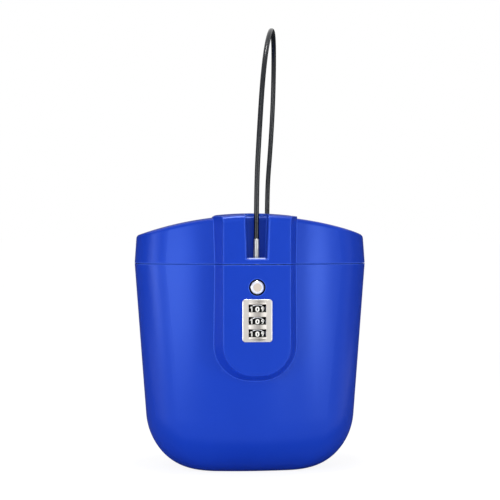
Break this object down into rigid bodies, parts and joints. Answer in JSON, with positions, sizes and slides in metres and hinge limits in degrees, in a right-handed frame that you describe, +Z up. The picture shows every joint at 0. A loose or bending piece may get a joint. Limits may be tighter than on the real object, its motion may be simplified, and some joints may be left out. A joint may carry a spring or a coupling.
{
  "type": "portable beach safe",
  "caption": "Portable lock box with a hinged lid, dial lock on a raised front panel and a coated steel cable loop over the top.",
  "frame": {"origin": "centre of the flat base, on the ground", "axes": "+Z up, -Y out of the front with the dial lock, +X to the right of someone facing the front"},
  "size_m": [0.165, 0.1221, 0.314],
  "materials": {
    "shell": "blue, smooth, semi-gloss",
    "seal": "matte black",
    "steel": "bright, fine brushed",
    "inner_plastic": "matte black",
    "plate": "satin nickel, brushed",
    "button": "satin, bright rim",
    "cable": "glossy black coating",
    "ferrule": "satin",
    "dials": "black with white numbers",
    "sleeves": "satin"
  },
  "bodies": {
    "safe": {"body_shell": "shell", "hinge_pin": "steel", "lock_plate": "plate", "lock_case": "inner_plastic", "case_screws": "steel", "lock_cover": "inner_plastic", "cover_screws": "steel", "detent_spring": "steel", "bolt_spring": "steel", "spindle_spring": "steel"},
    "lid": {"lid_shell": "shell", "lid_seal": "seal", "cable": "cable", "cable_plug": "ferrule", "cable_bush": "seal", "cable_stop": "ferrule"},
    "dial_bottom": {"dial_bottom": "dials", "sleeve_bottom": "sleeves"},
    "dial_middle": {"dial_middle": "dials", "sleeve_middle": "sleeves"},
    "dial_top": {"dial_top": "dials", "sleeve_top": "sleeves"},
    "button": {"release_button": "button", "latch_bolt": "steel"},
    "spindle": {"spindle": "steel"}
  },
  "joints": [
    {"name": "lid_hinge", "type": "hinge", "parent": "safe", "child": "lid", "pos_m": [0, 0.0546, 0.146], "axis": [-1, 0, 0], "range_deg": [0, 105]},
    {"name": "dial_bottom_spin", "type": "hinge", "parent": "safe", "child": "dial_bottom", "pos_m": [0, -0.0558, 0.0996], "axis": [0, 0, 1], "continuous": true},
    {"name": "dial_middle_spin", "type": "hinge", "parent": "safe", "child": "dial_middle", "pos_m": [0, -0.0558, 0.108], "axis": [0, 0, 1], "continuous": true},
    {"name": "dial_top_spin", "type": "hinge", "parent": "safe", "child": "dial_top", "pos_m": [0, -0.0558, 0.1164], "axis": [0, 0, 1], "continuous": true},
    {"name": "button_press", "type": "slide", "parent": "safe", "child": "button", "axis": [0, 1, 0], "range_m": [0, 0.0024], "stiffness_N_per_m": 400, "springref_m": -0.004, "deforming": ["bolt_spring"]},
    {"name": "spindle_drop", "type": "slide", "parent": "safe", "child": "spindle", "axis": [0, 0, -1], "range_m": [0, 0.0024], "deforming": ["spindle_spring"]}
  ],
  "couplings": [
    {"joint": "spindle_drop", "follows": "button_press", "ratio": 1}
  ]
}
